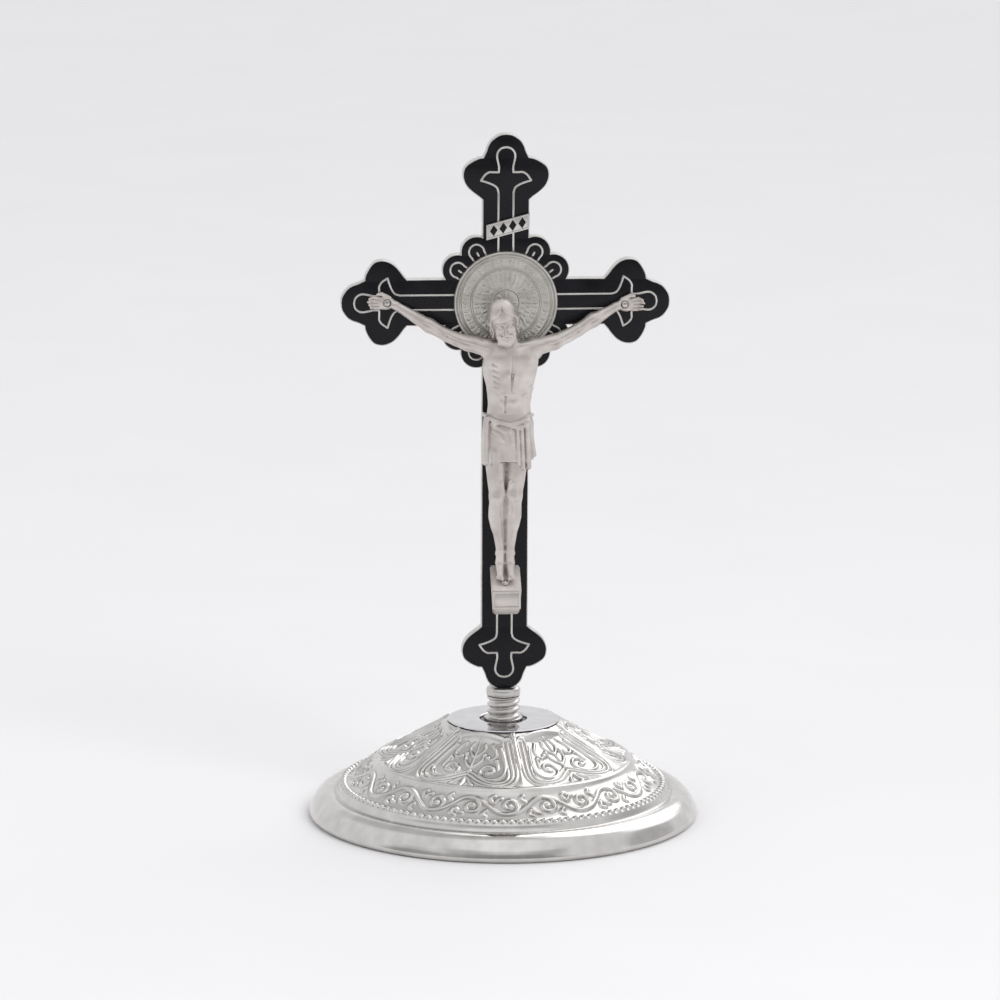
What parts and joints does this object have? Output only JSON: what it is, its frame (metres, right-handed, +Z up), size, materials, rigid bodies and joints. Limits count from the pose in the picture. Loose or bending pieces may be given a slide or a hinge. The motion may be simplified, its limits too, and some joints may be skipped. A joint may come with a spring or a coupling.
{
  "type": "standing altar cross",
  "caption": "Tabletop altar cross with trefoil arms, black enamel fields, a cast figure and a round medal, on an embossed round base.",
  "frame": {"origin": "centre of the base's resting plane", "axes": "+Z up; the front with the figure faces -Y; +X to the viewer's right"},
  "size_m": [0.0676, 0.0676, 0.12],
  "materials": {
    "nickel_plate": "bright nickel plate on castings and pressed base, slightly soft in the relief",
    "polished_nickel": "mirror polished",
    "black_enamel": "glossy black enamel fill",
    "antique_silver": "silver plate with darkened recesses",
    "satin_silver": "satin silver casting",
    "zinc_steel": "plated steel hardware"
  },
  "bodies": {
    "base": {"base_shell": "nickel_plate", "cap_disc": "polished_nickel"},
    "cross": {"threaded_stud": "zinc_steel", "cross_casting": "nickel_plate", "enamel_outer_field": "black_enamel", "enamel_field_top": "black_enamel", "enamel_field_right": "black_enamel", "enamel_field_bottom": "black_enamel", "enamel_field_left": "black_enamel", "medal_disc": "antique_silver", "title_plaque": "nickel_plate", "corpus_figure": "satin_silver", "footrest_block": "satin_silver", "hand_nail_left": "zinc_steel", "hand_nail_right": "zinc_steel", "foot_peg": "zinc_steel"},
    "washer": {"lock_washer": "zinc_steel"},
    "nut": {"hex_nut": "zinc_steel"}
  },
  "joints": [
    {"name": "cross_swivel", "type": "hinge", "parent": "base", "child": "cross", "pos_m": [0, 0, 0.01628], "axis": [0, 0, 1], "continuous": true},
    {"name": "washer_slide", "type": "slide", "parent": "cross", "child": "washer", "axis": [0, 0, -1], "range_m": [0, 0.00635]},
    {"name": "nut_turn", "type": "hinge", "parent": "washer", "child": "nut", "pos_m": [0, 0, 0.0125], "axis": [0, 0, -1], "range_deg": [0, 1800]}
  ],
  "couplings": [
    {"joint": "nut_turn", "follows": "washer_slide", "rad_per_m": 4947.4}
  ]
}
